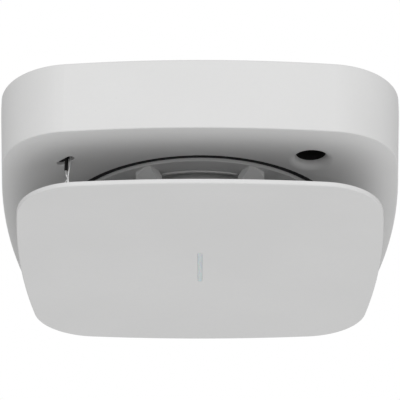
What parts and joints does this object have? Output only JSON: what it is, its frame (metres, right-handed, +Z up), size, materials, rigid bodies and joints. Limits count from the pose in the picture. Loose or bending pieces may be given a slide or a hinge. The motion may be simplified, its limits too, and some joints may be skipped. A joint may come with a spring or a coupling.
{
  "type": "ceiling heat detector",
  "caption": "Square soft-cornered ceiling heat detector with a floating front plate that is pressed to test, air gap, bead thermistor, siren and twist-off bracket.",
  "frame": {"origin": "centre of the bracket's ceiling face", "axes": "+Z up, out of the ceiling face; the detector hangs at Z < 0; -Y is the side with the siren port and the thermistor"},
  "size_m": [0.124, 0.124, 0.0382],
  "materials": {
    "white_shell": "fine satin texture, moulded",
    "white_plate": "fine satin texture, moulded",
    "bracket_plastic": "satin, moulded",
    "black_plastic": "matt black",
    "clear_guide": "frosted clear",
    "board": "green solder mask",
    "chips": "moulded black epoxy",
    "shield_tin": "tinned, satin",
    "steel": "zinc plated",
    "spring_steel": "bright drawn wire",
    "nickel": "nickel plated",
    "cell_wrap": "shrink film",
    "brass_disc": "rolled brass",
    "ceramic": "silvered ceramic",
    "rubber": "soft black",
    "bead_epoxy": "epoxy",
    "lead_wire": "tinned wire",
    "mesh": "woven mesh",
    "led_body": "moulded",
    "button_grey": "moulded"
  },
  "bodies": {
    "bracket": {"mounting_bracket": "bracket_plastic"},
    "test_plate": {"front_plate": "white_plate", "plate_carrier": "white_shell", "light_guide": "clear_guide", "insect_screen": "mesh", "plate_screws": "steel", "carrier_screws": "steel"},
    "tamper_pin": {"tamper_plunger": "button_grey"},
    "power_key": {"power_button": "button_grey"},
    "head": {"antenna_coil": "lead_wire", "back_cover": "bracket_plastic", "board_screws": "steel", "cell_contact_plates": "nickel", "cell_contact_springs": "nickel", "cell_holder_left": "black_plastic", "cell_holder_right": "black_plastic", "cell_left": "cell_wrap", "cell_right": "cell_wrap", "cover_screws": "steel", "housing": "white_shell", "inner_chassis": "black_plastic", "lead_sleeve": "rubber", "main_board": "board", "microcontroller": "chips", "piezo_brass_disc": "brass_disc", "piezo_ceramic": "ceramic", "power_switch": "chips", "radio_shield": "shield_tin", "reservoir_capacitor": "cell_wrap", "return_springs": "spring_steel", "siren_contact_springs": "spring_steel", "siren_gasket": "rubber", "siren_resonator": "black_plastic", "small_components": "chips", "status_led": "led_body", "tamper_spring": "spring_steel", "test_switch": "chips", "thermistor_bead": "bead_epoxy", "thermistor_grommet": "rubber", "thermistor_leads": "lead_wire"}
  },
  "joints": [
    {"name": "head_twist", "type": "hinge", "parent": "bracket", "child": "head", "pos_m": [0, 0, 0], "axis": [0, 0, -1], "range_deg": [0, 15]},
    {"name": "test_press", "type": "slide", "parent": "head", "child": "test_plate", "axis": [0, 0, 1], "range_m": [0, 0.0012], "stiffness_N_per_m": 2000, "springref_m": -0.0008, "deforming": ["return_springs"]},
    {"name": "tamper_press", "type": "slide", "parent": "head", "child": "tamper_pin", "axis": [0, 0, -1], "range_m": [0, 0.001], "stiffness_N_per_m": 300, "springref_m": -0.001, "deforming": ["tamper_spring"]},
    {"name": "power_press", "type": "slide", "parent": "head", "child": "power_key", "axis": [0, 0, -1], "range_m": [0, 0.0003], "stiffness_N_per_m": 3000, "springref_m": -0.0002}
  ]
}
